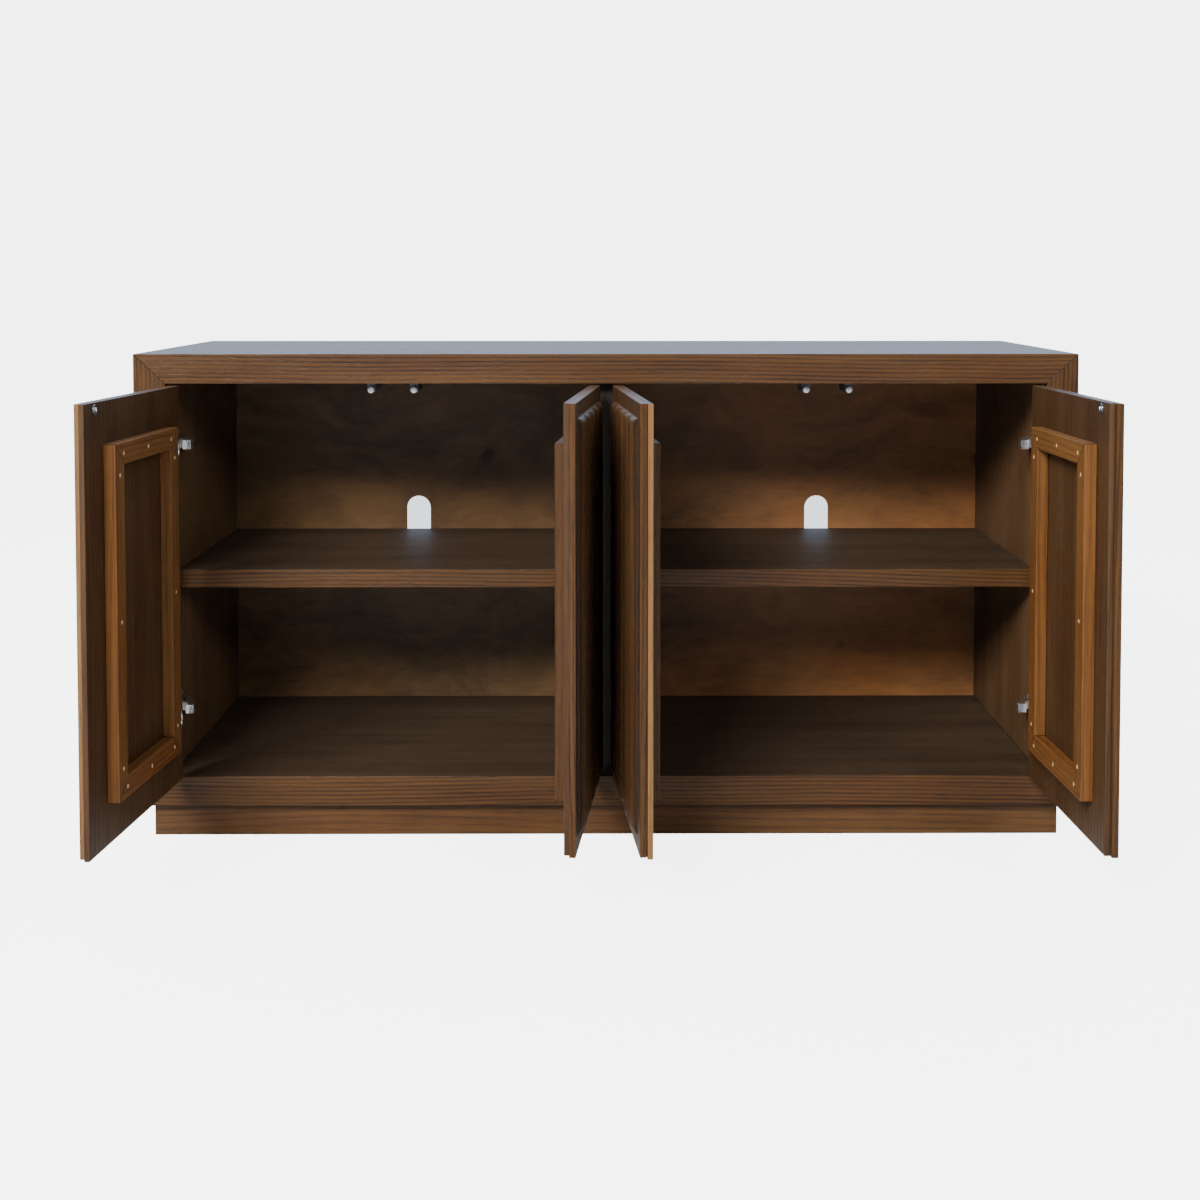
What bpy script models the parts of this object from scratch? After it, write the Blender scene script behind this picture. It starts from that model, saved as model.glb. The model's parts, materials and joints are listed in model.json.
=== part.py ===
"""TV stand with four reeded doors on concealed hinges, shown with its doors open.

Metres, +Z up, the open front towards -Y. The origin is on the floor, under the middle of the whole
model with its doors open. Plan sizes are first worked out in case coordinates, where Y = 0 is the
front edge of the case, and FRONT_Y then moves everything to the origin.
"""
import math

import bmesh
import bpy
from mathutils import Matrix, Vector

# ---- driving sizes: case
WIDTH = 1.524
DEPTH = 0.495
PLINTH_HEIGHT = 0.055
BOTTOM_THICKNESS = 0.048
OPENING_HEIGHT = 0.640
TOP_THICKNESS = 0.048
SIDE_THICKNESS = 0.051
DIVIDER_THICKNESS = 0.025
BACK_THICKNESS = 0.006
BACK_INSET = 0.0105
PLINTH_FRONT_INSET = 0.020
PLINTH_SIDE_INSET = 0.0215
PLINTH_BACK_INSET = 0.012
PLINTH_RAIL = 0.020

# ---- driving sizes: shelves and cable slots
SHELF_THICKNESS = 0.030
SHELF_RISE = 0.327              # shelf top above the floor of the bay
SHELF_SETBACK = 0.062
SLOT_WIDTH = 0.0455
SLOT_REACH = 0.078              # each slot's end above and below the shelf's mid plane
SLOT_OFFSETS = (0.0, 0.042)     # slot from the middle of its bay: left bay, right bay

# ---- driving sizes: doors
DOOR_FRONT_LAYER = 0.0095
DOOR_BACK_LAYER = 0.008
SIDE_GAP = 0.002                # outer door to side
MEETING_GAP = 0.003             # between neighbouring doors
TOP_GAP = 0.002
BOTTOM_GAP = 0.0025
SHIPLAP = 0.008                 # step of the back layer at the free edge
RIB_COUNT = 5
RIB_HEIGHT = 0.0095
RIB_BORDER_SIDE = 0.028
RIB_BORDER_END = 0.0225
RIB_END_ROUND = 0.010
BATTEN_SIDE_INSET = 0.054
BATTEN_END_INSET = 0.061
BATTEN_WIDTH = 0.032
BATTEN_THICKNESS = 0.018

# ---- driving sizes: concealed hinges
AXIS_OUTBOARD = 0.00675         # pivot line beyond the door's hinge edge
AXIS_FORWARD = 0.01475          # pivot line in front of the door's flat border
HINGE_END_INSET = 0.100         # hinge centre from the door's top and bottom
CUP_RADIUS = 0.0172
CUP_DEPTH = 0.0110
CUP_WALL = 0.0012
CUP_EDGE_INSET = 0.0045         # cup hole's rim from the door's hinge edge
FLANGE_LIP = 0.0028             # flange beyond the cup's wall
FLANGE_THICKNESS = 0.0012
WING_LENGTH = 0.062
WING_WIDTH = 0.014
WING_OFFSET = 0.009             # wing's middle beyond the cup's middle
ARM_WIDTH = 0.014
ARM_REACH = 0.031               # arm's nose from the door's hinge edge
ARM_NOSE_LENGTH = 0.014
ARM_NOSE_DEPTH = 0.013
ARM_BODY_HEIGHT = 0.010
ARM_LENGTH = 0.060
PLATE_THICKNESS = 0.0027
PLATE_BAR_WIDTH = 0.018
PLATE_LENGTH = 0.052
PLATE_WING_SPAN = 0.050
PLATE_WING_WIDTH = 0.013

# ---- driving sizes: touch latches
LATCH_DROP = 0.012              # plunger's axis below the top panel
LATCH_OFFSET_LEFT_HAND = 0.029  # latch from the meeting line, on the side of a door hinged at its left
LATCH_OFFSET_RIGHT_HAND = 0.041
HOUSING_WALL = 0.0022
HOUSING_LENGTH = 0.058
PLUNGER_RADIUS = 0.0045
PLUNGER_SHAFT = 0.030
PLUNGER_TRAVEL = 0.004
CAP_LIP = 0.0010                # cap beyond the plunger's shaft
CAP_THICKNESS = 0.003
STRIKE_RADIUS = 0.0075
STRIKE_THICKNESS = 0.0015

# ---- clearances
GAP = 0.0003                    # faces that touch on the real piece
RUN_CLEARANCE = 0.0003          # round the plunger and in the cup holes
STRIKE_CLEARANCE = 0.0004       # plunger to the strike of a shut door
NOSE_CLEARANCE = 0.0010         # hinge arm behind the cup flange of a shut door
DIVIDER_CLEARANCE = 0.0015      # divider's front behind the cup flange of a shut door
SHELF_CLEARANCE = 0.0010

# ---- poses: how far each door stands open, in degrees
OPEN_ANGLES = {"left_outer": 95.0, "left_inner": 84.7, "right_inner": 84.0, "right_outer": 92.2}

# ---- derived case places
HALF_WIDTH = WIDTH / 2
WALL_X = HALF_WIDTH - SIDE_THICKNESS
FLOOR_Z = PLINTH_HEIGHT + BOTTOM_THICKNESS
CEILING_Z = FLOOR_Z + OPENING_HEIGHT
HEIGHT = CEILING_Z + TOP_THICKNESS
BACK_Y = DEPTH - BACK_INSET - BACK_THICKNESS
SHELF_TOP_Z = FLOOR_Z + SHELF_RISE
SHELF_MID_Z = SHELF_TOP_Z - SHELF_THICKNESS / 2
BAY_MIDDLE_X = (WALL_X + DIVIDER_THICKNESS / 2) / 2

# ---- derived door places
DOOR_WIDTH = (2 * WALL_X - 2 * SIDE_GAP - 3 * MEETING_GAP) / 4
DOOR_BOTTOM_Z = FLOOR_Z + BOTTOM_GAP
DOOR_TOP_Z = CEILING_Z - TOP_GAP
DOOR_RECESS = RIB_HEIGHT        # the ribs' crests are flush with the front edge of the case
DOOR_THICKNESS = DOOR_FRONT_LAYER + GAP + DOOR_BACK_LAYER
DOOR_BACK_Y = DOOR_RECESS + DOOR_THICKNESS
FLANGE_BACK_Y = DOOR_BACK_Y + GAP + FLANGE_THICKNESS
DIVIDER_FRONT_Y = FLANGE_BACK_Y + DIVIDER_CLEARANCE
NOSE_Y = FLANGE_BACK_Y + NOSE_CLEARANCE
CUP_ALONG = CUP_EDGE_INSET + CUP_RADIUS
FLANGE_RADIUS = CUP_RADIUS + FLANGE_LIP
HINGE_HEIGHTS = {"upper": DOOR_TOP_Z - HINGE_END_INSET, "lower": DOOR_BOTTOM_Z + HINGE_END_INSET}
LATCH_Z = CEILING_Z - LATCH_DROP
CAP_RADIUS = PLUNGER_RADIUS + CAP_LIP
HOUSING_RADIUS = PLUNGER_RADIUS + RUN_CLEARANCE + HOUSING_WALL
LATCH_TIP_Y = DOOR_BACK_Y + GAP + STRIKE_THICKNESS + STRIKE_CLEARANCE
HOUSING_FRONT_Y = LATCH_TIP_Y + CAP_THICKNESS + PLUNGER_TRAVEL + RUN_CLEARANCE


class Door:
    """One door: hand is +1 when it is hinged at its left edge and -1 at its right edge."""

    def __init__(self, name, hand, hinge_edge_x, wall_x):
        self.name = name
        self.hand = hand
        self.edge_x = hinge_edge_x
        self.wall_x = wall_x
        self.angle = math.radians(OPEN_ANGLES[name])
        self.axis_x = hinge_edge_x - hand * AXIS_OUTBOARD
        self.axis_y = DOOR_RECESS - AXIS_FORWARD
        self.back_end = DOOR_WIDTH + hand * SHIPLAP
        offset = LATCH_OFFSET_LEFT_HAND if hand > 0 else LATCH_OFFSET_RIGHT_HAND
        self.strike_along = DOOR_WIDTH + MEETING_GAP / 2 - offset

    def local(self, along, depth, z):
        """A point of the shut door, seen from the pivot line: along the door, back from its face, up."""
        return Vector((self.hand * (AXIS_OUTBOARD + along), AXIS_FORWARD + depth, z))

    def open_y(self, along, depth):
        """Case Y of that point when the door stands open."""
        shut = self.local(along, depth, 0)
        turned = Matrix.Rotation(-self.hand * self.angle, 3, "Z") @ shut
        return self.axis_y + turned.y


DOORS = (
    Door("left_outer", 1, -WALL_X + SIDE_GAP, -WALL_X),
    Door("left_inner", -1, -MEETING_GAP / 2, -DIVIDER_THICKNESS / 2),
    Door("right_inner", 1, MEETING_GAP / 2, DIVIDER_THICKNESS / 2),
    Door("right_outer", -1, WALL_X - SIDE_GAP, WALL_X),
)


def door_reach():
    """Case Y of the foremost point of the open doors."""
    ends = [(DOOR_WIDTH, 0), (DOOR_WIDTH, DOOR_FRONT_LAYER)]
    reach = 0.0
    for door in DOORS:
        back = [(door.back_end, DOOR_FRONT_LAYER + GAP), (door.back_end, DOOR_THICKNESS)]
        reach = min([reach] + [door.open_y(along, depth) for along, depth in ends + back])
    return reach


FRONT_Y = -(DEPTH + door_reach()) / 2

# ---- finishes: colour, roughness, metallic
FINISHES = {
    "oak_veneer": ((0.150, 0.076, 0.036), 0.45, 0.0),
    "inner_panel": ((0.105, 0.055, 0.028), 0.50, 0.0),
    "batten_wood": ((0.230, 0.110, 0.045), 0.50, 0.0),
    "nickel": ((0.700, 0.700, 0.690), 0.30, 1.0),
    "grey_plastic": ((0.300, 0.300, 0.310), 0.45, 0.0),
}


def clear_scene():
    for item in list(bpy.data.objects):
        bpy.data.objects.remove(item, do_unlink=True)


def make_material(name):
    colour, roughness, metallic = FINISHES[name]
    material = bpy.data.materials.new(name)
    material.use_nodes = True
    shader = material.node_tree.nodes["Principled BSDF"]
    shader.inputs["Base Color"].default_value = (*colour, 1.0)
    shader.inputs["Roughness"].default_value = roughness
    shader.inputs["Metallic"].default_value = metallic
    return material


def link_mesh(name, mesh_work, finish, parent=None, location=(0.0, 0.0, 0.0)):
    """Turn a bmesh into a named object with its finish, under a parent empty if one is given."""
    bmesh.ops.recalc_face_normals(mesh_work, faces=mesh_work.faces)
    mesh = bpy.data.meshes.new(name)
    mesh_work.to_mesh(mesh)
    mesh_work.free()
    item = bpy.data.objects.new(name, mesh)
    bpy.context.scene.collection.objects.link(item)
    item.parent = parent
    item.location = location
    if finish:
        item.data.materials.append(MATERIALS[finish])
    return item


def case_point(x, y, z):
    return (x, FRONT_Y + y, z)


def box_mesh(low, high):
    work = bmesh.new()
    bmesh.ops.create_cube(work, size=1.0)
    size = Vector(high) - Vector(low)
    middle = (Vector(high) + Vector(low)) / 2
    for vertex in work.verts:
        vertex.co = Vector(a * b for a, b in zip(vertex.co, size)) + middle
    return work


def add_box(name, low, high, finish):
    """A board between two corners in case coordinates, its origin at its middle."""
    middle = (Vector(low) + Vector(high)) / 2
    work = box_mesh(Vector(low) - middle, Vector(high) - middle)
    return link_mesh(name, work, finish, location=case_point(*middle))


def prism_mesh(outline, push):
    """A flat outline of 3-D points pushed along a vector to a closed solid."""
    work = bmesh.new()
    face = work.faces.new([work.verts.new(point) for point in outline])
    pushed = bmesh.ops.extrude_face_region(work, geom=[face])["geom"]
    moved = [item for item in pushed if isinstance(item, bmesh.types.BMVert)]
    bmesh.ops.translate(work, verts=moved, vec=push)
    return work


def turned_mesh(profile, place, axis, sides=32):
    """A closed profile of (radius, height) points, both ends on the axis, turned about the axis."""
    work = bmesh.new()
    previous = None
    for radius, height in profile:
        count = sides if radius > 0 else 1
        angles = [2 * math.pi * step / count for step in range(count)]
        ring = [work.verts.new((radius * math.cos(t), radius * math.sin(t), height)) for t in angles]
        if previous:
            for step in range(sides):
                corners = [ring[step % count], ring[(step + 1) % count],
                           previous[(step + 1) % len(previous)], previous[step % len(previous)]]
                work.faces.new(list(dict.fromkeys(corners)))
        previous = ring
    turn = Vector((0, 0, 1)).rotation_difference(Vector(axis)).to_matrix().to_4x4()
    bmesh.ops.transform(work, matrix=Matrix.Translation(place) @ turn, verts=work.verts)
    return work


def cylinder_mesh(radius, start, axis, length, sides=32):
    profile = [(0, 0), (radius, 0), (radius, length), (0, length)]
    return turned_mesh(profile, start, axis, sides)


def shade_round(item):
    item.data.shade_smooth()
    item.data.set_sharp_from_angle(angle=math.radians(35))


def add_boolean(item, work, operation, parent=None):
    """Cut or join a hidden guide solid into an object."""
    guide = link_mesh(item.name + "_guide", work, None, parent=parent)
    guide.hide_render = True
    guide.display_type = "WIRE"
    modifier = item.modifiers.new(operation.lower(), "BOOLEAN")
    modifier.operation = operation
    modifier.solver = "EXACT"
    modifier.object = guide


# ---- case

def mitre_outline(z_outer, z_inner, x_outer, x_inner):
    """Outline of a level board in the XZ plane, shortened by half a gap at each mitred end."""
    slope = (x_outer - x_inner) / abs(z_outer - z_inner)
    slack = GAP / 2 * math.hypot(1, slope)
    corners = [(-x_outer + slack, z_outer), (x_outer - slack, z_outer),
               (x_inner - slack, z_inner), (-x_inner + slack, z_inner)]
    return corners


def side_outline(sign):
    """Outline of an upright side in the XZ plane, mitred at its top and bottom."""
    slack_top = GAP / 2 * math.hypot(1, TOP_THICKNESS / SIDE_THICKNESS)
    slack_bottom = GAP / 2 * math.hypot(1, BOTTOM_THICKNESS / SIDE_THICKNESS)
    return [(sign * HALF_WIDTH, PLINTH_HEIGHT + slack_bottom), (sign * HALF_WIDTH, HEIGHT - slack_top),
            (sign * WALL_X, CEILING_Z - slack_top), (sign * WALL_X, FLOOR_Z + slack_bottom)]


def add_case_board(name, outline):
    points = [case_point(x, 0, z) for x, z in outline]
    return link_mesh(name, prism_mesh(points, (0, DEPTH, 0)), "oak_veneer")


def add_outer_case():
    add_case_board("top_panel", mitre_outline(HEIGHT, CEILING_Z, HALF_WIDTH, WALL_X))
    add_case_board("bottom_panel", mitre_outline(PLINTH_HEIGHT, FLOOR_Z, HALF_WIDTH, WALL_X))
    add_case_board("left_side", side_outline(-1))
    add_case_board("right_side", side_outline(1))


def add_divider():
    half = DIVIDER_THICKNESS / 2
    add_box("centre_divider", (-half, DIVIDER_FRONT_Y, FLOOR_Z + GAP),
            (half, BACK_Y - GAP, CEILING_Z - GAP), "oak_veneer")


def slot_outline(x_middle):
    """Round-ended upright slot, as a closed outline in front of the back panel."""
    radius = SLOT_WIDTH / 2
    straight = SLOT_REACH - radius
    points = []
    for sign in (1, -1):
        for step in range(13):
            angle = math.pi * step / 12
            x = x_middle + sign * radius * math.cos(angle)
            z = SHELF_MID_Z + sign * (straight + radius * math.sin(angle))
            points.append(case_point(x, BACK_Y - BACK_THICKNESS, z))
    return points


def add_back_panel():
    panel = add_box("back_panel", (-WALL_X + GAP, BACK_Y, FLOOR_Z + GAP),
                    (WALL_X - GAP, BACK_Y + BACK_THICKNESS, CEILING_Z - GAP), "inner_panel")
    for sign, offset in zip((-1, 1), SLOT_OFFSETS):
        middle = sign * BAY_MIDDLE_X + offset
        add_boolean(panel, prism_mesh(slot_outline(middle), (0, 3 * BACK_THICKNESS, 0)), "DIFFERENCE")


def add_shelves():
    for name, sign in (("left_shelf", -1), ("right_shelf", 1)):
        ends = sorted((sign * (WALL_X - GAP), sign * (DIVIDER_THICKNESS / 2 + GAP)))
        add_box(name, (ends[0], SHELF_SETBACK, SHELF_TOP_Z - SHELF_THICKNESS),
                (ends[1], BACK_Y - SHELF_CLEARANCE, SHELF_TOP_Z), "inner_panel")


def add_plinth():
    x_out = HALF_WIDTH - PLINTH_SIDE_INSET
    y_front = PLINTH_FRONT_INSET
    y_back = DEPTH - PLINTH_BACK_INSET
    top = PLINTH_HEIGHT - GAP
    add_box("plinth_front", (-x_out, y_front, 0), (x_out, y_front + PLINTH_RAIL, top), "oak_veneer")
    add_box("plinth_back", (-x_out, y_back - PLINTH_RAIL, 0), (x_out, y_back, top), "oak_veneer")
    for name, sign in (("plinth_left", -1), ("plinth_right", 1)):
        ends = sorted((sign * x_out, sign * (x_out - PLINTH_RAIL)))
        add_box(name, (ends[0], y_front + PLINTH_RAIL + GAP, 0),
                (ends[1], y_back - PLINTH_RAIL - GAP, top), "oak_veneer")


# ---- doors

def add_pivot(door):
    """Empty on the door's pivot line, turned by the door's open angle."""
    pivot = bpy.data.objects.new(door.name + "_pivot", None)
    bpy.context.scene.collection.objects.link(pivot)
    pivot.location = case_point(door.axis_x, door.axis_y, 0)
    pivot.rotation_euler = (0, 0, -door.hand * door.angle)
    return pivot


def rib_columns(segments=8):
    """(along, rise) of the ribbed face: half-ellipse ribs side by side between the flat borders."""
    pitch = (DOOR_WIDTH - 2 * RIB_BORDER_SIDE) / RIB_COUNT
    columns = [(0.0, 0.0), (RIB_BORDER_SIDE, 0.0)]
    for rib in range(RIB_COUNT):
        middle = RIB_BORDER_SIDE + (rib + 0.5) * pitch
        for step in range(1, segments + 1):
            angle = math.pi * step / segments
            columns.append((middle - pitch / 2 * math.cos(angle), RIB_HEIGHT * math.sin(angle)))
    columns.append((DOOR_WIDTH, 0.0))
    return columns


def rib_rows(segments=3):
    """(height, share of the full rise): each rib's ends are rounded off over RIB_END_ROUND."""
    low = DOOR_BOTTOM_Z + RIB_BORDER_END
    high = DOOR_TOP_Z - RIB_BORDER_END
    rows = [(DOOR_BOTTOM_Z, 0.0)]
    for step in range(segments + 1):
        angle = math.pi / 2 * step / segments
        rows.append((low + RIB_END_ROUND * (1 - math.cos(angle)), math.sin(angle)))
    for step in reversed(range(segments + 1)):
        angle = math.pi / 2 * step / segments
        rows.append((high - RIB_END_ROUND * (1 - math.cos(angle)), math.sin(angle)))
    rows.append((DOOR_TOP_Z, 0.0))
    return rows


def door_front_mesh(door):
    """Flat-backed board whose face is a grid raised into upright ribs inside a flat border."""
    work = bmesh.new()
    columns = rib_columns()
    rows = rib_rows()
    grid = [[work.verts.new(door.local(along, -rise * share, z)) for along, rise in columns]
            for z, share in rows]
    for lower, upper in zip(grid, grid[1:]):
        for step in range(len(columns) - 1):
            work.faces.new((lower[step], lower[step + 1], upper[step + 1], upper[step]))
    ends = ((0, DOOR_BOTTOM_Z), (DOOR_WIDTH, DOOR_BOTTOM_Z), (DOOR_WIDTH, DOOR_TOP_Z), (0, DOOR_TOP_Z))
    back = [work.verts.new(door.local(along, DOOR_FRONT_LAYER, z)) for along, z in ends]
    left_column = [row[0] for row in grid]
    right_column = [row[-1] for row in grid]
    work.faces.new(back)
    work.faces.new(grid[0] + [back[1], back[0]])
    work.faces.new(grid[-1] + [back[2], back[3]])
    work.faces.new(left_column + [back[3], back[0]])
    work.faces.new(right_column + [back[2], back[1]])
    return work


def cup_hole_mesh(door, z):
    """Guide solid for one cup's blind hole, from behind the door into its front layer."""
    start = door.local(CUP_ALONG, DOOR_THICKNESS + GAP - CUP_DEPTH - RUN_CLEARANCE, z)
    return cylinder_mesh(CUP_RADIUS + RUN_CLEARANCE, start, (0, 1, 0), 2 * CUP_DEPTH)


def add_door_boards(door, pivot):
    front = link_mesh(door.name + "_door_front", door_front_mesh(door), "oak_veneer", pivot)
    layer = DOOR_FRONT_LAYER + GAP
    corners = (door.local(0, layer, DOOR_BOTTOM_Z), door.local(door.back_end, DOOR_THICKNESS, DOOR_TOP_Z))
    back = link_mesh(door.name + "_door_back", box_mesh(*corners), "inner_panel", pivot)
    for z in HINGE_HEIGHTS.values():
        add_boolean(front, cup_hole_mesh(door, z), "DIFFERENCE", pivot)
        add_boolean(back, cup_hole_mesh(door, z), "DIFFERENCE", pivot)


def frame_mesh(door, outer, inner, depths):
    """Rectangular ring: outer and inner are (along low, along high, z low, z high)."""
    work = bmesh.new()

    def loop(sides, depth):
        a_low, a_high, z_low, z_high = sides
        corners = ((a_low, z_low), (a_high, z_low), (a_high, z_high), (a_low, z_high))
        return [work.verts.new(door.local(along, depth, z)) for along, z in corners]

    loops = [loop(outer, depths[0]), loop(outer, depths[1]), loop(inner, depths[1]), loop(inner, depths[0])]
    for first, second in zip(loops, loops[1:] + loops[:1]):
        for step in range(4):
            after = (step + 1) % 4
            work.faces.new((first[step], first[after], second[after], second[step]))
    return work


def add_battens(door, pivot):
    a_low = BATTEN_SIDE_INSET
    a_high = DOOR_WIDTH - BATTEN_SIDE_INSET
    z_low = DOOR_BOTTOM_Z + BATTEN_END_INSET
    z_high = DOOR_TOP_Z - BATTEN_END_INSET
    outer = (a_low, a_high, z_low, z_high)
    inner = (a_low + BATTEN_WIDTH, a_high - BATTEN_WIDTH, z_low + BATTEN_WIDTH, z_high - BATTEN_WIDTH)
    start = DOOR_THICKNESS + GAP
    work = frame_mesh(door, outer, inner, (start, start + BATTEN_THICKNESS))
    link_mesh(door.name + "_door_battens", work, "batten_wood", pivot)


def add_strike(door, pivot):
    place = door.local(door.strike_along, DOOR_THICKNESS + GAP, LATCH_Z)
    work = cylinder_mesh(STRIKE_RADIUS, place, (0, 1, 0), STRIKE_THICKNESS, sides=24)
    shade_round(link_mesh(door.name + "_door_strike", work, "nickel", pivot))


# ---- hinges

def add_hinge_cup(door, pivot, which, z):
    """Pressed cup with its flange, and a wing plate joined to it."""
    bottom = -CUP_DEPTH
    profile = [(0, bottom), (CUP_RADIUS, bottom), (CUP_RADIUS, 0), (FLANGE_RADIUS, 0),
               (FLANGE_RADIUS, FLANGE_THICKNESS), (CUP_RADIUS - CUP_WALL, FLANGE_THICKNESS),
               (CUP_RADIUS - CUP_WALL, bottom + CUP_WALL), (0, bottom + CUP_WALL)]
    place = door.local(CUP_ALONG, DOOR_THICKNESS + GAP, z)
    name = door.name + "_hinge_cup_" + which
    cup = link_mesh(name, turned_mesh(profile, place, (0, 1, 0)), "nickel", pivot)
    near = CUP_ALONG + WING_OFFSET - WING_WIDTH / 2
    face = DOOR_THICKNESS + GAP
    for sign in (-1, 1):
        inner = sign * (CUP_RADIUS - CUP_WALL)
        outer = sign * WING_LENGTH / 2
        wing = box_mesh(door.local(near, face, z + min(inner, outer)),
                        door.local(near + WING_WIDTH, face + FLANGE_THICKNESS, z + max(inner, outer)))
        add_boolean(cup, wing, "UNION", pivot)
    shade_round(cup)


def add_hinge_arm(door, which, z):
    """Cranked arm: its body on the mounting plate, its nose standing out behind the cup."""
    toward_bay = door.hand
    base = PLATE_THICKNESS + 2 * GAP
    nose = abs(door.edge_x - door.wall_x + door.hand * ARM_REACH)
    body_top = base + ARM_BODY_HEIGHT
    nose_back = NOSE_Y + ARM_NOSE_LENGTH
    nose_base = max(nose - ARM_NOSE_DEPTH, base)
    end = NOSE_Y + ARM_LENGTH
    plan = [(base, end), (base, nose_back + ARM_BODY_HEIGHT), (nose_base, nose_back),
            (nose_base, NOSE_Y), (nose, NOSE_Y), (nose, nose_back),
            (body_top, nose_back + 2 * ARM_BODY_HEIGHT), (body_top, end)]
    points = [case_point(door.wall_x + toward_bay * out, y, z - ARM_WIDTH / 2) for out, y in plan]
    link_mesh(door.name + "_hinge_arm_" + which, prism_mesh(points, (0, 0, ARM_WIDTH)), "nickel")


def add_hinge_plate(door, which, z):
    """Cross-shaped mounting plate on the side or the divider."""
    y_end = NOSE_Y + ARM_LENGTH
    y_start = y_end - PLATE_LENGTH
    y_wing = y_start + (PLATE_LENGTH - PLATE_WING_WIDTH) / 2
    bar = PLATE_BAR_WIDTH / 2
    span = PLATE_WING_SPAN / 2
    cross = [(y_start, -bar), (y_wing, -bar), (y_wing, -span), (y_wing + PLATE_WING_WIDTH, -span),
             (y_wing + PLATE_WING_WIDTH, -bar), (y_end, -bar), (y_end, bar),
             (y_wing + PLATE_WING_WIDTH, bar), (y_wing + PLATE_WING_WIDTH, span), (y_wing, span),
             (y_wing, bar), (y_start, bar)]
    points = [case_point(door.wall_x + door.hand * GAP, y, z + rise) for y, rise in cross]
    work = prism_mesh(points, (door.hand * PLATE_THICKNESS, 0, 0))
    link_mesh(door.name + "_hinge_plate_" + which, work, "nickel")


# ---- touch latches

def latch_x(door):
    return door.edge_x + door.hand * door.strike_along


def add_latch(door):
    """Housing with a blind bore under the top, and the sprung plunger that slides in it."""
    x = latch_x(door)
    arc = [math.pi * (1 + step / 8) for step in range(9)]
    outline = [(x + HOUSING_RADIUS * math.cos(t), LATCH_Z + HOUSING_RADIUS * math.sin(t)) for t in arc]
    outline += [(x + HOUSING_RADIUS, CEILING_Z - GAP), (x - HOUSING_RADIUS, CEILING_Z - GAP)]
    points = [case_point(px, HOUSING_FRONT_Y, pz) for px, pz in outline]
    housing = link_mesh(door.name + "_latch_housing", prism_mesh(points, (0, HOUSING_LENGTH, 0)),
                        "grey_plastic")
    bore_depth = PLUNGER_SHAFT + PLUNGER_TRAVEL
    bore = cylinder_mesh(PLUNGER_RADIUS + RUN_CLEARANCE,
                         case_point(x, HOUSING_FRONT_Y - PLUNGER_TRAVEL, LATCH_Z),
                         (0, 1, 0), PLUNGER_TRAVEL + bore_depth, sides=24)
    add_boolean(housing, bore, "DIFFERENCE")
    profile = [(0, 0), (CAP_RADIUS, 0), (CAP_RADIUS, CAP_THICKNESS), (PLUNGER_RADIUS, CAP_THICKNESS),
               (PLUNGER_RADIUS, PLUNGER_SHAFT), (0, PLUNGER_SHAFT)]
    plunger = link_mesh(door.name + "_latch_plunger", turned_mesh(profile, (0, 0, 0), (0, 1, 0), 24),
                        "nickel", location=case_point(x, LATCH_TIP_Y, LATCH_Z))
    shade_round(plunger)


def add_door(door):
    pivot = add_pivot(door)
    add_door_boards(door, pivot)
    add_battens(door, pivot)
    add_strike(door, pivot)
    for which, z in HINGE_HEIGHTS.items():
        add_hinge_cup(door, pivot, which, z)
        add_hinge_arm(door, which, z)
        add_hinge_plate(door, which, z)
    add_latch(door)


clear_scene()
MATERIALS = {name: make_material(name) for name in FINISHES}
add_outer_case()
add_divider()
add_back_panel()
add_shelves()
add_plinth()
for each_door in DOORS:
    add_door(each_door)
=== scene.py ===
"""TV stand with four reeded doors on concealed hinges: its finished look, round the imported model.

Metres, +Z up, the open front towards -Y. Case pieces are worked out in row coordinates. Door pieces
are worked out as if the door were shut, in (across, depth, height) from its pivot line: across runs
from the pivot over the door, depth runs into the case. Door.place then swings them open.
Every wooden point carries a "grain" vector, (along, across, through) its own board.
"""
import json
import math

import bmesh
import bpy
import numpy as np
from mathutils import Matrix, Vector


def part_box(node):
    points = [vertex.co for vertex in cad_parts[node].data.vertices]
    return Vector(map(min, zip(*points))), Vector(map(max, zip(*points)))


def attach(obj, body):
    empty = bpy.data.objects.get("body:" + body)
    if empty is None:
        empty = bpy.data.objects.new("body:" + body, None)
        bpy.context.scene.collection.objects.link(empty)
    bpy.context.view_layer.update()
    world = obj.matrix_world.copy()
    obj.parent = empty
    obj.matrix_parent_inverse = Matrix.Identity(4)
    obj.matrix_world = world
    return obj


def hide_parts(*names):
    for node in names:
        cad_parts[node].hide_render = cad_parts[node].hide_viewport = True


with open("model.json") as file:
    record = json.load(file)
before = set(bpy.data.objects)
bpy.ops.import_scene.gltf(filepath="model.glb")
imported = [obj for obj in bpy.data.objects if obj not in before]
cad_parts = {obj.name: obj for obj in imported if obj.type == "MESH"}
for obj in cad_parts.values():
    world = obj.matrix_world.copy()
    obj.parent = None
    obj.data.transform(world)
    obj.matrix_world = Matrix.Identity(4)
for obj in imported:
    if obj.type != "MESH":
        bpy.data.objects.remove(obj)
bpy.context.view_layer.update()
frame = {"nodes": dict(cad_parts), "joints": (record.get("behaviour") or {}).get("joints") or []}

# ---- workshop sizes that the frame doesn't give
EASE_CASE = 0.0009              # eased edges of the case boards
EASE_PANEL = 0.0004
EASE_DOOR = 0.0007
EASE_BATTEN = 0.0012
EASE_STEPS = 3
RIB_COUNT = 5
RIB_HEIGHT = 0.0095
RIB_BORDER_SIDE = 0.028
RIB_BORDER_END = 0.0225
RIB_END_ROUND = 0.010
GROOVE_SPREAD = 0.0025          # how far the painted shade of the rib valleys reaches past the feet of the outer ribs
GROOVE_SHARE = 0.64             # and how far up the ribs, as a share of their height
GROOVE_FADE = 0.26
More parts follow.
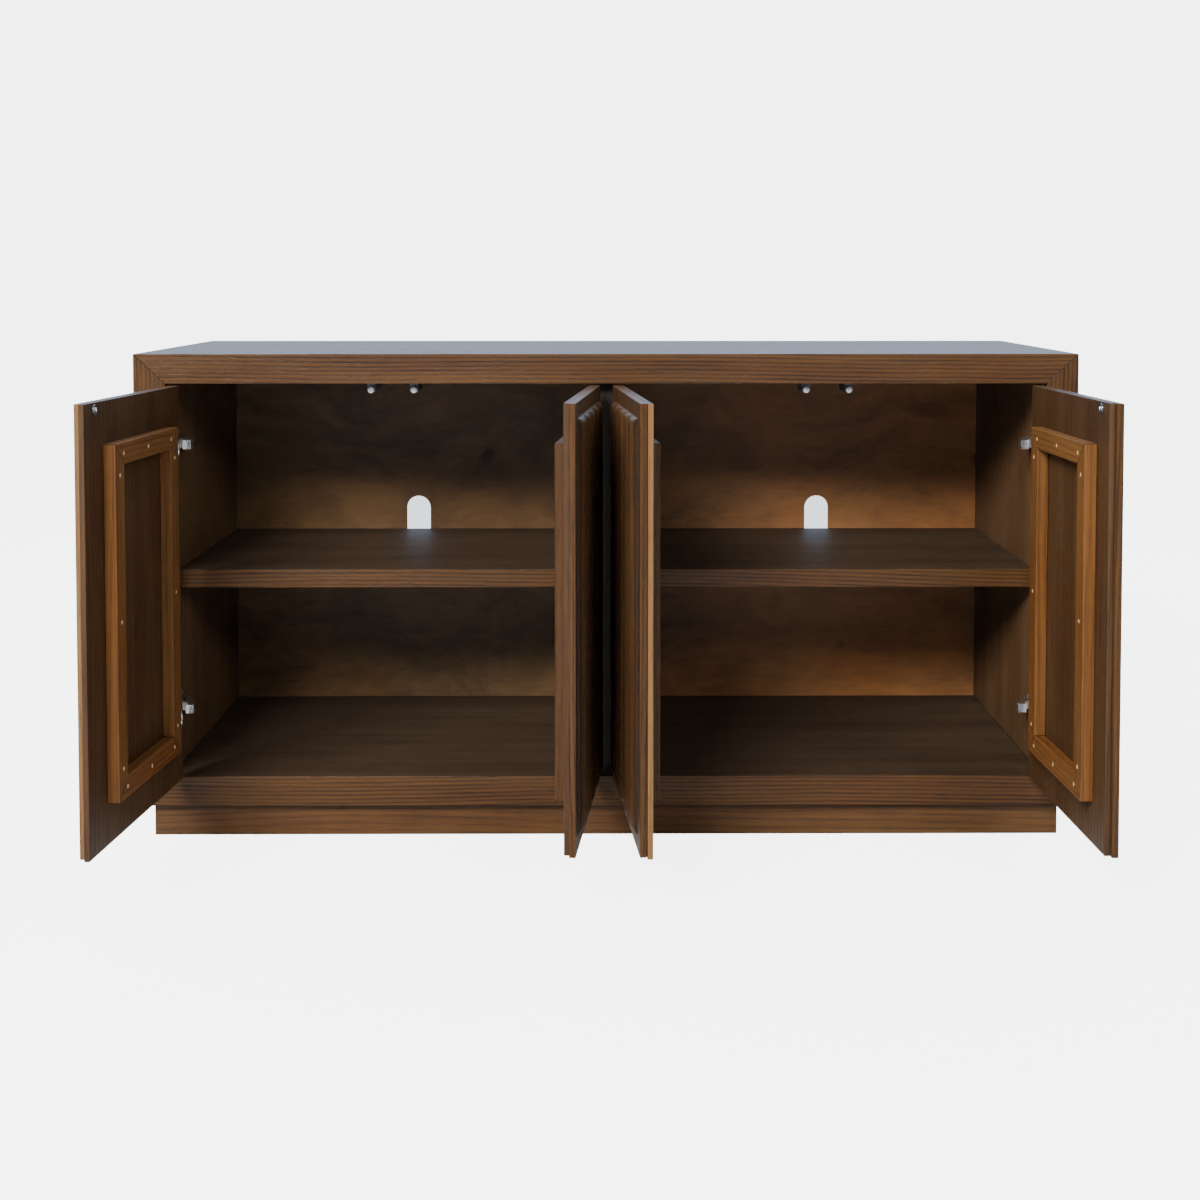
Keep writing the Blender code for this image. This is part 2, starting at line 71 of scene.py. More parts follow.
# colour and cover of the darkening at "groove" points: stain in the mitre joints, and painted shade in
# the valleys between the door ribs
JOINT_STAIN_AND_RIB_SHADE_COLOUR = (0.0052, 0.0028, 0.0017)
JOINT_STAIN_AND_RIB_SHADE_COVER = 0.76
POCKET_DEPTH = 0.0068           # from the front layer's face to the bottom of its cup pockets
BATTEN_WIDTH = 0.032
BATTEN_GAP = 0.0001             # at each end, so that mitred battens don't share a face
PIN_RADIUS = 0.0029
PIN_RISE = 0.00015
PIN_SINK = 0.0006
PIN_INSET = 0.030               # first and last pin from the ends of each batten
CUP_FLANGE = 0.0200
CUP_RADIUS = 0.0172
CUP_WALL = 0.0012
CUP_SLACK = 0.0003
CUP_KNEE = 0.002                # outer corner between the cup's wall and its bottom
CUP_RIM_ROUND = 0.0009
EAR_RADIUS = 0.007
EAR_SHIFT = 0.009
EAR_SCREW = 0.0041
RIVET_RADIUS = 0.0022
RIVET_HALF = 0.0008
RIVET_PLACES = ((0.006, 0.004, -0.0065), (0.006, 0.004, 0.0065))    # from the middle of the cup's bottom
PLATE_BAR_HALF = 0.009          # mounting plate: half widths of its bar and of its wings
PLATE_WING_HALF = 0.0065
PLATE_SCREW = 0.0040
PLATE_SCREW_INSET = 0.007
ARM_SCREWS = ((0.35, 0.0034), (0.78, 0.0040))       # share of the arm's rear part, and radius
ARM_REAR_SHARE = 0.52
ARM_TAIL_INSET = 0.004
EASE_ARM = 0.0011
EASE_PLATE = 0.0006
EASE_HOUSING = 0.0005
LATCH_BORE = 0.0048
LATCH_BORE_DEPTH = 0.034
PLUNGER_SHAFT = 0.0045
PLUNGER_CAP_DEPTH = 0.003
PLUNGER_DOME = 0.0009
SLOT_WIDTH = 0.0455
SLOT_REACH = 0.078              # half the slot's height
WELD = 2e-6
FACING = 0.9                    # cosine beyond which a face counts as looking one way
SMOOTH_ANGLE = math.radians(40)
BEVEL_ANGLE = math.radians(50)

# ---- room, floor and lights
ROOM_FRONT = (0.26, 0.28, 0.31)     # behind the camera, where nothing should be mirrored
ROOM_BACK = (1.32, 1.74, 2.36)      # behind the cabinet, mirrored in its top
ROOM_SHOWN = (5.4, 5.4, 5.4)        # the white that the camera itself sees
ROOM_TURN = (-0.35, 0.75)           # sight directions' Y between which the room turns from dim to bright
FLOOR_GLOW = 4.7
FLOOR_REACH = 40.0
SHADE_APEX = 2.55                   # soft shade behind the cabinet, in a wedge from this far in front
SHADE_SLANT = (0.14, 0.27)          # half width over length where the wedge starts to fade, and ends
SHADE_NEAR = (0.5, 1.6)             # depths over which the shade sets in
SHADE_FAR = (4.4, 8.0)              # and over which it goes
SHADE_DEPTH = 0.80
# name, place, target, size, power, colour
LIGHTS = (
    ("key", (-2.1, -4.75, 3.65), (0, 0, 0.35), (2.6, 1.5), 1080.0, (1.0, 0.98, 0.95)),
    ("fill", (2.7, -4.5, 3.2), (0, 0, 0.4), (2.0, 1.4), 190.0, (1.0, 1.0, 1.0)),
    ("overhead", (0.0, 0.6, 3.6), (0, 0.3, 0.4), (3.4, 1.8), 60.0, (1.0, 1.0, 1.0)),
)

# ---- camera
CAMERA_PLACE = (0.0026, -2.5515, 0.920)
CAMERA_PITCH = math.radians(2.30)
CAMERA_YAW = math.radians(0.27)
CAMERA_LENS = 46.47
CAMERA_SHIFT = (-0.0128, -0.22)


# ---- finishes

class Wire:
    """A shader value that takes part in plain arithmetic: each operator adds one Math node."""

    def __init__(self, finish, socket):
        self.finish = finish
        self.socket = socket

    def __add__(self, other):
        return self.finish.math("ADD", self, other)

    def __radd__(self, other):
        return self.finish.math("ADD", other, self)

    def __sub__(self, other):
        return self.finish.math("SUBTRACT", self, other)

    def __rsub__(self, other):
        return self.finish.math("SUBTRACT", other, self)

    def __mul__(self, other):
        return self.finish.math("MULTIPLY", self, other)

    def __rmul__(self, other):
        return self.finish.math("MULTIPLY", other, self)

    def __truediv__(self, other):
        return self.finish.math("DIVIDE", self, other)

    def __pow__(self, other):
        return self.finish.math("POWER", self, other)


class Nodes:
    """A node tree whose nodes are added by one method."""

    def __init__(self, owner):
        owner.use_nodes = True
        self.tree = owner.node_tree

    def feed(self, socket, value):
        if isinstance(value, Wire):
            self.tree.links.new(value.socket, socket)
        else:
            socket.default_value = value

    def node(self, kind, settings=None, sockets=None, output=0):
        """Any node: its type, its settings, which are set first, and its sockets' values or links."""
        made = self.tree.nodes.new("ShaderNode" + kind)
        for key, value in (settings or {}).items():
            setattr(made, key, value)
        for key, value in (sockets or {}).items():
            self.feed(made.inputs[key], value)
        return Wire(self, made.outputs[output])

    def math(self, operation, *values):
        return self.node("Math", {"operation": operation}, dict(enumerate(values)))

    def ramp(self, value, low, high):
        """0 below low, 1 above high, and a smooth rise between."""
        return self.node("MapRange", {"interpolation_type": "SMOOTHSTEP"},
                         {"Value": value, "From Min": low, "From Max": high})

    def mix(self, amount, first, second, blend="MIX"):
        """Colours: first at 0, second at 1."""
        settings = {"data_type": "RGBA", "blend_type": blend}
        return self.node("Mix", settings, {0: amount, 6: first, 7: second}, output=2)

    def noise(self, place, scale, detail=2.0, roughness=0.5):
        """Noise whose scale is a number, or three for a stretched one."""
        if not isinstance(scale, (int, float)):
            place = self.node("VectorMath", {"operation": "MULTIPLY"}, {0: place, 1: scale})
            scale = 1.0
        sockets = {"Vector": place, "Scale": scale, "Detail": detail, "Roughness": roughness}
        return self.node("TexNoise", None, sockets)


class Finish(Nodes):
    """A material round one Principled shader."""

    def __init__(self, name):
        self.material = bpy.data.materials.new(name)
        super().__init__(self.material)
        self.shader = self.tree.nodes["Principled BSDF"]

    def dress(self, colour, roughness, height=0.0, distance=0.0, constants=None):
        """Feed the Principled shader: its colour, roughness, bump and constant sockets."""
        self.feed(self.shader.inputs["Base Color"], colour)
        self.feed(self.shader.inputs["Roughness"], roughness)
        if distance:
            bump = {"Height": height, "Distance": distance, "Strength": 1.0}
            self.feed(self.shader.inputs["Normal"], self.node("Bump", None, bump))
        for socket, value in (constants or {}).items():
            self.shader.inputs[socket].default_value = value
        return self.material


def rgb(red, green, blue):
    return (red, green, blue, 1.0)


def wood(name, light, dark, warm, pitch, line_depth, pore_depth, mottle, roughness):
    """Stained wood along its grain vector.

    Growth lines are a sine of the distance across the grain, bent by slow noise and sharpened. Streaks
    and pores are noise stretched along the grain. Mottle adds blotches that hardly follow the grain.
    Where the surface's "groove" value rises to 1 the colour darkens: stain in mitre joints, and painted
    shade in the valleys between ribs.
    """
    finish = Finish(name)
    grain = finish.node("Attribute", {"attribute_name": "grain"}, None, output=1)
    across = finish.node("SeparateXYZ", None, {0: grain}, output=1)
    through = finish.node("SeparateXYZ", None, {0: grain}, output=2)
    sway = finish.noise(grain, (0.8, 1.4, 1.4), 1.5)
    wobble = finish.noise(grain, (7.0, 30.0, 30.0), 2.0)
    turns = (across + through * 0.83) / pitch + sway * 9.0 + wobble * 0.55
    lines = (finish.math("SINE", turns * math.tau) * 0.5 + 0.5) ** 2.6
    broad = finish.noise(grain, (1.4, 20.0, 20.0), 3.0)
    streaks = finish.noise(grain, (5.0, 260.0, 260.0), 4.0, 0.62)
    pores = finish.ramp(finish.noise(grain, (30.0, 1300.0, 1300.0), 1.0), 0.56, 0.72)
    blotches = finish.noise(grain, (9.0, 14.0, 14.0), 4.0, 0.62)
    tone = lines * (streaks + 0.30) * line_depth + (streaks - 0.5) * 0.95 + (broad - 0.5) * 0.9 + 0.24
    tone = tone + (blotches - 0.5) * mottle + pores * pore_depth
    colour = finish.mix(tone, rgb(*light), rgb(*dark))
    colour = finish.mix(finish.ramp(broad, 0.42, 0.66) * 0.35, colour, rgb(*warm), "OVERLAY")
    # darkening at "groove" points: stain in mitre joints, painted shade in the rib valleys
    groove = finish.node("Attribute", {"attribute_name": "groove"}, None, output=2)
    colour = finish.mix(groove * JOINT_STAIN_AND_RIB_SHADE_COVER, colour, rgb(*JOINT_STAIN_AND_RIB_SHADE_COLOUR))
    shine = lines * 0.06 + pores * 0.12 + (streaks - 0.5) * 0.10 + roughness
    height = lines * -0.35 - pores * 0.8 + streaks * 0.25
    lacquer = {"Coat Weight": 0.03, "Coat Roughness": 0.32, "Specular IOR Level": 0.17}
    return finish.dress(colour, shine, height, 0.00022, lacquer)


def mottled_ply(name):
    """Rotary-cut birch under a dark stain: soft clouds, fine ripples and a few small torn knots.

    Painted light: the colour is lighter and redder towards +X, where more light falls on the back panel.
    """
    finish = Finish(name)
    grain = finish.node("Attribute", {"attribute_name": "grain"}, None, output=1)
    across = finish.node("SeparateXYZ", None, {0: grain}, output=1)
    drift = finish.noise(grain, 3.2, 3.0)
    swirl = finish.node("TexNoise", None, {"Vector": grain, "Scale": 3.4, "Detail": 3.0}, output=1)
    shift = finish.node("VectorMath", {"operation": "SCALE"}, {0: swirl, "Scale": 0.30})
    bent = finish.node("VectorMath", {"operation": "ADD"}, {0: grain, 1: shift})
    figure = finish.noise(bent, (4.0, 13.0, 13.0), 5.0, 0.60)
    clouds = finish.noise(grain, (3.5, 5.0, 5.0), 4.0, 0.6)
    fine = finish.noise(grain, (22.0, 120.0, 120.0), 3.0, 0.6)
    ripple = finish.math("SINE", figure * 95.0 + across * 60.0) * finish.ramp(clouds, 0.42, 0.62)
    spot = finish.node("TexVoronoi", {"feature": "F1"}, {"Vector": bent, "Scale": 4.6, "Randomness": 1.0})
    knots = (1.0 - finish.ramp(spot + (fine - 0.5) * 0.10, 0.02, 0.12)) * finish.ramp(drift, 0.50, 0.58)
    tone = (figure - 0.5) * 1.3 + (clouds - 0.5) * 1.1 + (fine - 0.5) * 0.35 + ripple * 0.055
    side = finish.node("SeparateXYZ", None, {0: finish.node("TexCoord", None, None, output=3)})
    # painted light: lighter and redder towards +X
    lit = finish.ramp(side, -0.20, 0.35)
    tone = tone + knots * 0.65 + 0.42 - lit * 0.12
    colour = finish.mix(tone, rgb(0.115, 0.066, 0.028), rgb(0.022, 0.0115, 0.005))
    colour = finish.mix(finish.ramp(drift, 0.40, 0.65) * 0.4, colour, rgb(0.60, 0.45, 0.28), "OVERLAY")
    colour = finish.mix(lit, colour, rgb(1.80, 1.42, 1.20), "MULTIPLY")
    height = figure * 0.3 + fine * 0.3 - knots * 0.3
    lacquer = {"Coat Weight": 0.03, "Coat Roughness": 0.35, "Specular IOR Level": 0.20}
    return finish.dress(colour, figure * 0.15 + 0.42, height, 0.0002, lacquer)


def metal(name, light, dark, roughness, scale):
    """Plated steel: slow cloudy tone, fine handling marks in its roughness."""
    finish = Finish(name)
    place = finish.node("TexCoord", None, None, output=3)
    cloud = finish.noise(place, scale, 3.0)
    marks = finish.noise(place, scale * 14, 2.0)
    colour = finish.mix(cloud, rgb(*light), rgb(*dark))
    shine = (cloud - 0.5) * 0.12 + marks * 0.10 + roughness
    return finish.dress(colour, shine, marks, 0.00004, {"Metallic": 1.0})


def plain(name, light, dark, roughness, scale, depth):
    """A moulded or filled surface: two near tones in fine noise, with a slight tooth."""
    finish = Finish(name)
    place = finish.node("TexCoord", None, None, output=3)
    cloud = finish.noise(place, scale, 4.0, 0.6)
    tooth = finish.noise(place, scale * 9, 2.0)
    colour = finish.mix(cloud, rgb(*light), rgb(*dark))
    return finish.dress(colour, tooth * 0.10 + roughness, tooth, depth)


# light, dark and warm colours, then line pitch, line depth, pore depth, mottle and roughness
VENEERS = {
    "oak_veneer": ((0.056, 0.0236, 0.0055), (0.0080, 0.0032, 0.0010), (0.60, 0.42, 0.27),
                   0.0056, 0.60, 0.35, 0.22, 0.36),
    "door_veneer": ((0.068, 0.0335, 0.0135), (0.0105, 0.0052, 0.0026), (0.60, 0.42, 0.27),
                    0.0056, 0.60, 0.35, 0.22, 0.36),
    "plinth_veneer": ((0.068, 0.0315, 0.0095), (0.0155, 0.0066, 0.0023), (0.60, 0.42, 0.27),
                      0.0120, 0.30, 0.30, 0.55, 0.38),
    # shaded_edge: the divider's front edge, near black: painted shade between the open doors
    "shaded_edge": ((0.007, 0.0034, 0.0013), (0.003, 0.0014, 0.0006), (0.55, 0.42, 0.30),
                    0.0080, 0.30, 0.25, 0.30, 0.55),
    "edge_band": ((0.150, 0.080, 0.029), (0.050, 0.0230, 0.0075), (0.62, 0.44, 0.26),
                  0.0060, 0.30, 0.35, 0.20, 0.36),
    "inner_veneer": ((0.092, 0.051, 0.025), (0.024, 0.0130, 0.0070), (0.55, 0.40, 0.26),
                     0.0110, 0.30, 0.20, 0.55, 0.40),
    # greyer and bluer than the oak: painted sheen of the room on the upward faces of the bottom board and
    # shelves
    "shelf_veneer": ((0.042, 0.0255, 0.0145), (0.011, 0.0070, 0.0044), (0.52, 0.42, 0.32),
                     0.0110, 0.30, 0.20, 0.55, 0.60),
    "door_inner": ((0.052, 0.026, 0.0105), (0.014, 0.0066, 0.0028), (0.58, 0.38, 0.24),
                   0.0120, 0.30, 0.22, 0.45, 0.40),
    "batten_wood": ((0.122, 0.0530, 0.0145), (0.034, 0.0136, 0.0041), (0.66, 0.42, 0.22),
                    0.0090, 0.35, 0.25, 0.40, 0.40),
    # batten_shaded: a darker copy of batten_wood, painted shade for the inner doors' battens
    "batten_shaded": ((0.050, 0.0205, 0.0048), (0.014, 0.0054, 0.0014), (0.66, 0.42, 0.22),
                      0.0090, 0.35, 0.25, 0.40, 0.40),
}
# light and dark colours, roughness and noise scale
METALS = {
    "nickel": ((0.78, 0.78, 0.77), (0.58, 0.58, 0.58), 0.24, 55.0),
    "screw_steel": ((0.55, 0.55, 0.56), (0.34, 0.34, 0.35), 0.30, 140.0),
    # the strike disc's nickel made dark: a painted reflection of the dark case it mirrors
    "dark_steel": ((0.20, 0.20, 0.21), (0.09, 0.09, 0.10), 0.26, 160.0),
}
# the same, and the depth of the tooth
PLAINS = {
    "pin_filler": ((0.56, 0.36, 0.20), (0.40, 0.23, 0.11), 0.50, 260.0, 0.00003),
    "grey_plastic": ((0.075, 0.077, 0.082), (0.045, 0.046, 0.050), 0.42, 120.0, 0.00004),
}
FINISHES = {"mottled_ply": mottled_ply("mottled_ply")}
for make_finish, table in ((wood, VENEERS), (metal, METALS), (plain, PLAINS)):
    FINISHES.update({name: make_finish(name, *values) for name, values in table.items()})


# ---- surfaces

class Form:
    """A piece's surface in the making: points, faces, each face's finish and each point's groove."""

    def __init__(self):
        self.points = np.zeros((0, 3))
        self.faces = []
        self.finish = []
        self.groove = None

    def add(self, points, faces, finish=0):
        start = len(self.points)
        self.points = np.vstack([self.points, np.asarray(points, float).reshape(-1, 3)])
        self.faces += [[start + int(corner) for corner in face] for face in faces]
        self.finish += [finish] * len(faces)

    def grid(self, points, wrap=False, finish=0):
        """A patch with points[row, column]: a quad between each two neighbouring rows and columns."""
        rows, columns = points.shape[:2]
        row = np.arange(rows - 1)[:, None] * columns
        column = np.arange(columns if wrap else columns - 1)[None, :]
        after = (column + 1) % columns
        quads = np.stack([row + column, row + after, row + columns + after, row + columns + column], -1)
        self.add(points, quads.reshape(-1, 4), finish)

    def polygon(self, points, finish=0):
        self.add(points, [range(len(points))], finish)

    def join(self, other):
        """Take in another form's patches."""
        start = len(self.points)
        self.points = np.vstack([self.points, other.points])
        self.faces += [[start + corner for corner in face] for face in other.faces]
        self.finish += other.finish


def make_piece(name, form, body, nodes, finishes, place=None, order=(0, 1, 2), offset=0.0,
               inner=None):
    """Turn a form into a named piece that rides on a body and stands for CAD nodes.

    order picks which of the form's coordinates run along, across and through the grain. inner is a
    row-frame direction: the flat faces that look that way take the second finish.
    """
    world = form.points if place is None else place(form.points)
    mesh = bpy.data.meshes.new(name)
    mesh.from_pydata(world.tolist(), [], form.faces)
    grain = form.points[:, list(order)] + offset * np.array([3.17, 1.31, 0.73])
    attribute = mesh.attributes.new("grain", "FLOAT_VECTOR", "POINT")
    attribute.data.foreach_set("vector", grain.astype(np.float32).ravel())
    if form.groove is not None:
        groove = mesh.attributes.new("groove", "FLOAT", "POINT")
        groove.data.foreach_set("value", form.groove.astype(np.float32))
    mesh.polygons.foreach_set("material_index", np.array(form.finish, np.int32))
    work = bmesh.new()
    work.from_mesh(mesh)
    bmesh.ops.remove_doubles(work, verts=work.verts, dist=WELD)
    bmesh.ops.recalc_face_normals(work, faces=work.faces)
    if inner is not None:
        direction = Vector(inner)
        for face in work.faces:
            face.material_index = int(face.normal.dot(direction) > FACING)
    work.to_mesh(mesh)
    work.free()
    mesh.shade_smooth()
    mesh.set_sharp_from_angle(angle=SMOOTH_ANGLE)
    for finish in finishes:
        mesh.materials.append(FINISHES[finish])
    piece = bpy.data.objects.new(name, mesh)
    bpy.context.scene.collection.objects.link(piece)
    piece.modifiers.new("even_shading", "WEIGHTED_NORMAL").keep_sharp = True
    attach(piece, body)
    if nodes:
        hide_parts(*nodes)
    return piece


def eased_box(low, high, ease):
    """A box with eased edges.

    Each point is a corner of the inner box, which is the box drawn in by ease, plus ease times a unit
    normal. The normals are a grid of latitudes and longitudes over the sphere, and a quarter turn's
    last longitude is repeated for the next corner, so flat sides open between the rounded edges.
    """
    low, high = np.array(low, float), np.array(high, float)
    middle, half = (low + high) / 2, (high - low) / 2 - ease
    count = EASE_STEPS + 1
    quarter = np.linspace(0, math.pi / 2, count)
    latitude = np.concatenate([quarter - math.pi / 2, quarter])
    up = np.repeat([-1, 1], count)
    longitude = np.concatenate([quarter + turn * math.pi / 2 for turn in range(4)])
    east = np.repeat([1, -1, -1, 1], count)
    north = np.repeat([1, 1, -1, -1], count)
    ring = np.cos(latitude)[:, None]
    normal = np.stack([ring * np.cos(longitude), ring * np.sin(longitude),
                       np.sin(latitude)[:, None] + 0 * longitude], -1)
    corner = np.stack(np.broadcast_arrays(east, north, up[:, None]), -1)
    points = middle + half * corner + ease * normal
    form = Form()
    form.grid(points, wrap=True)
    form.polygon(points[0, ::count])
    form.polygon(points[-1, ::count])
    return form


def mitred(form, axis, other, outer, inner, length_outer, length_inner):
    """Slant a board's ends: its half length at level t falls evenly from length_outer to length_inner.

    Stain has gathered along the joint, on the eased edges beyond the flat faces.
    """
    reach = np.abs(form.points[:, axis])
    form.groove = (reach > reach.min() + 1e-5).astype(float)
    share = (form.points[:, other] - outer) / (inner - outer)
    form.points[:, axis] *= (length_outer + (length_inner - length_outer) * share) / length_outer
    return form


def outline_of(columns, rows):
    """Closed loop round a grid's edge: its bottom row, right column, top row and left column."""
    bottom = np.stack([columns, np.full_like(columns, rows[0])], -1)
    right = np.stack([np.full_like(rows, columns[-1]), rows], -1)
    top = np.stack([columns, np.full_like(columns, rows[-1])], -1)[::-1]
    left = np.stack([np.full_like(rows, columns[0]), rows], -1)[::-1]
    return np.vstack([bottom[:-1], right[:-1], top[:-1], left[:-1]])


def drawn_in(loop, amount):
    """A rectangle's outline, drawn in by an amount on every side."""
    return np.clip(loop, loop.min(0) + amount, loop.max(0) - amount)


def round_outline(middle, radius, straight=0.0, sides=32):
    """Loop round a circle, or a round-ended slot when straight is above 0, from its low second end.

    The loop is radius times a unit circle, and its right and left halves stand apart by straight.
    """
    turn = np.linspace(-math.pi / 2, math.pi / 2, sides // 2 + 1)
    half = np.stack([radius * np.cos(turn) + straight, radius * np.sin(turn)], -1)
    if straight:
        half = np.vstack([[0.0, -radius], half, [0.0, radius]])
    other = -half
    loop = np.vstack([half, other[1:-1]])
    return loop + np.array(middle)


def at_depth(loop, depth):
    """A loop of (first, second) points as (first, depth, second)."""
    return np.stack([loop[:, 0], np.full(len(loop), depth), loop[:, 1]], -1)


def pierced_faces(form, loop, holes, line, depth):
    """A flat face with holes in a row, as two polygons that meet on the line through the holes.

    Points are (first, second) with the line at first = line. The loop and each hole are closed loops
    that hold their own two points on the line, and each hole starts at its low one.
    """
    ends = [int(np.argmin(np.abs(loop - np.array([line, edge])).sum(1)))
            for edge in (loop[:, 1].min(), loop[:, 1].max())]
    high = loop[ends[0]:ends[1] + 1]
    low = np.vstack([loop[ends[1]:], loop[:ends[0] + 1]])
    for hole in reversed(holes):
        high = np.vstack([high, hole[:len(hole) // 2 + 1][::-1]])
    for hole in holes:
        left = np.vstack([hole[len(hole) // 2:], hole[:1]])
        low = np.vstack([low, left[::-1]])
    for polygon in (high, low):
        form.polygon(at_depth(polygon, depth))


def skirt(form, loop, ease, front, back, ease_back=True):
    """Sides of a board with eased edges: its outline is carried round a quarter circle at the front,
    straight back, and round a quarter circle at the back."""
    turn = np.linspace(0, math.pi / 2, EASE_STEPS + 1)
    inset = ease * (1 - np.sin(turn))
    depth = ease * (1 - np.cos(turn))
    rings = [at_depth(drawn_in(loop, a), front + b) for a, b in zip(inset, depth)]
    if ease_back:
        rings += [at_depth(drawn_in(loop, a), back - b) for a, b in zip(inset[::-1], depth[::-1])]
    else:
        rings.append(at_depth(loop, back))
    form.grid(np.array(rings), wrap=True)


def pierced_board(low, high, holes, line, ease):
    """A thin board in (first, depth, second) with through holes in a row."""
    form = Form()
    loop = outline_of(np.array([low[0], line, high[0]]), np.array([low[2], high[2]]))
    inner = drawn_in(loop, ease)
    pierced_faces(form, inner, holes, line, low[1])
    pierced_faces(form, inner, holes, line, high[1])
    skirt(form, loop, ease, low[1], high[1])
    for hole in holes:
        form.grid(np.array([at_depth(hole, low[1]), at_depth(hole, high[1])]), wrap=True)
    return form


def turned(profile, middle, sides=40):
    """A (radius, depth) profile turned about a line that runs along depth."""
    radius, depth = np.array(profile, float).T
    angle = np.linspace(0, math.tau, sides, endpoint=False)
    ring = np.stack([np.cos(angle), 0 * angle, np.sin(angle)], -1)
    points = radius[:, None, None] * ring
    points[..., 1] = depth[:, None]
    form = Form()
    form.grid(points + np.array(middle), wrap=True)
    return form


def prism(outline, axis, start, end):
    """A closed outline of 2-D points pushed along one axis: 0, 1 or 2."""
    outline = np.array(outline, float)
    rings = [np.insert(outline, axis, level, axis=1) for level in (start, end)]
    form = Form()
    form.grid(np.array(rings), wrap=True)
    form.polygon(rings[0])
    form.polygon(rings[1])
    return form


def screw_head(middle, radius, toward, axis="depth"):
    """A pan head with a cross recess, in the piece's second finish.

    Height is a dome, 1 minus the square of the radius, less a smooth cross: a point lies in the cross
    when it is close to either diameter and inside two thirds of the head.
    """
    share = np.array([0.0, 0.22, 0.42, 0.60, 0.78, 0.92, 1.0, 1.0])
    angle = np.linspace(0, math.tau, 32, endpoint=False)
    across = share[:, None] * np.cos(angle)
    up = share[:, None] * np.sin(angle)
    dome = radius * (0.36 * (1 - share[:, None] ** 2) + 0.30) + 0 * across
    near = np.minimum(np.abs(across), np.abs(up))
    cross = np.clip((0.17 - near) / 0.05, 0, 1) * np.clip((0.70 - share[:, None]) / 0.1, 0, 1)
    rise = dome - radius * 0.42 * cross
    rise[-1] = 0.0
    if axis == "depth":
        points = np.stack([across * radius, toward * rise, up * radius], -1)
    else:
        points = np.stack([toward * rise, across * radius, up * radius], -1)
    form = Form()
    form.grid(points + np.array(middle), wrap=True, finish=1)
    form.polygon(points[-1] + np.array(middle), finish=1)
    return form


# ---- case

def board(node, name, finishes, order, inner=None, offset=0.0, shape=None):
    form = eased_box(*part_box(node), EASE_CASE)
    if shape:
        form = shape(form)
    return make_piece(name, form, "case", [node], finishes, order=order, inner=inner,
                      offset=offset)


def build_case():
    top_low, top_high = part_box("top_panel")
    bottom_low, bottom_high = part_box("bottom_panel")
    left_low, left_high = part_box("left_side")
    half, wall = top_high.x, -left_high.x
    middle_z = (left_low.z + left_high.z) / 2
    half_z = (left_high.z - left_low.z) / 2
    inner_z = (top_low.z - bottom_high.z) / 2

    def level_board(outer, inner):
        return lambda form: mitred(form, 0, 2, outer, inner, half, wall)

    def upright_board(outer, inner):
        def shape(form):
            form.points[:, 2] -= middle_z
            mitred(form, 2, 0, outer, inner, half_z, inner_z)
            form.points[:, 2] += middle_z
            return form
        return shape

    veneers = ["oak_veneer", "inner_veneer"]
    # upward faces take the shelf veneer with its painted sheen
    shelved = ["oak_veneer", "shelf_veneer"]
    board("top_panel", "top_board", veneers, (0, 1, 2), (0, 0, -1), 0.0,
          shape=level_board(top_high.z, top_low.z))
    board("bottom_panel", "bottom_board", shelved, (0, 1, 2), (0, 0, 1), 1.0,
          shape=level_board(bottom_low.z, bottom_high.z))
    board("left_side", "left_side_board", veneers, (2, 1, 0), (1, 0, 0), 2.0,
          shape=upright_board(-half, -wall))
    board("right_side", "right_side_board", veneers, (2, 1, 0), (-1, 0, 0), 3.0,
          shape=upright_board(half, wall))
    # the divider's front edge takes shaded_edge, painted shade
    board("centre_divider", "divider_board", ["inner_veneer", "shaded_edge"], (2, 1, 0),
          (0, -1, 0), 4.0)
    board("left_shelf", "left_shelf_board", shelved, (0, 1, 2), (0, 0, 1), 5.0)
    board("right_shelf", "right_shelf_board", shelved, (0, 1, 2), (0, 0, 1), 6.0)
    for step, side in enumerate(("front", "back")):
        board("plinth_" + side, "plinth_board_" + side, ["plinth_veneer"], (0, 2, 1),
              offset=7.0 + step)
    for step, side in enumerate(("left", "right")):
        board("plinth_" + side, "plinth_board_" + side, ["plinth_veneer"], (1, 2, 0),
              offset=9.0 + step)


def build_back_panel():
    """The back panel in (height, depth, sideways), so that its slots stand in a row on one line."""
    low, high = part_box("back_panel")
    shelf_low, shelf_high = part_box("left_shelf")
    line = (shelf_low.z + shelf_high.z) / 2
    radius = SLOT_WIDTH / 2
    holes = [round_outline((line, x), radius, SLOT_REACH - radius) for x in slot_middles()]
    form = pierced_board((low.z, low.y, low.x), (high.z, high.y, high.x), holes, line, EASE_PANEL)
    form.points = form.points[:, [2, 1, 0]]
    make_piece("back_panel_ply", form, "case", ["back_panel"], ["mottled_ply"],
               order=(0, 2, 1), offset=11.0)


def slot_middles():
    """Sideways middles of the back panel's slots: the rows of its mesh that lie at the slots' ends."""
    points = np.array([vertex.co for vertex in frame["nodes"]["back_panel"].data.vertices])
    low, high = points.min(0), points.max(0)
    rim = points[(points[:, 0] > low[0] + 0.01) & (points[:, 0] < high[0] - 0.01)]
    return [float((side[:, 0].min() + side[:, 0].max()) / 2)
            for side in (rim[rim[:, 0] < 0], rim[rim[:, 0] > 0])]


# ---- doors

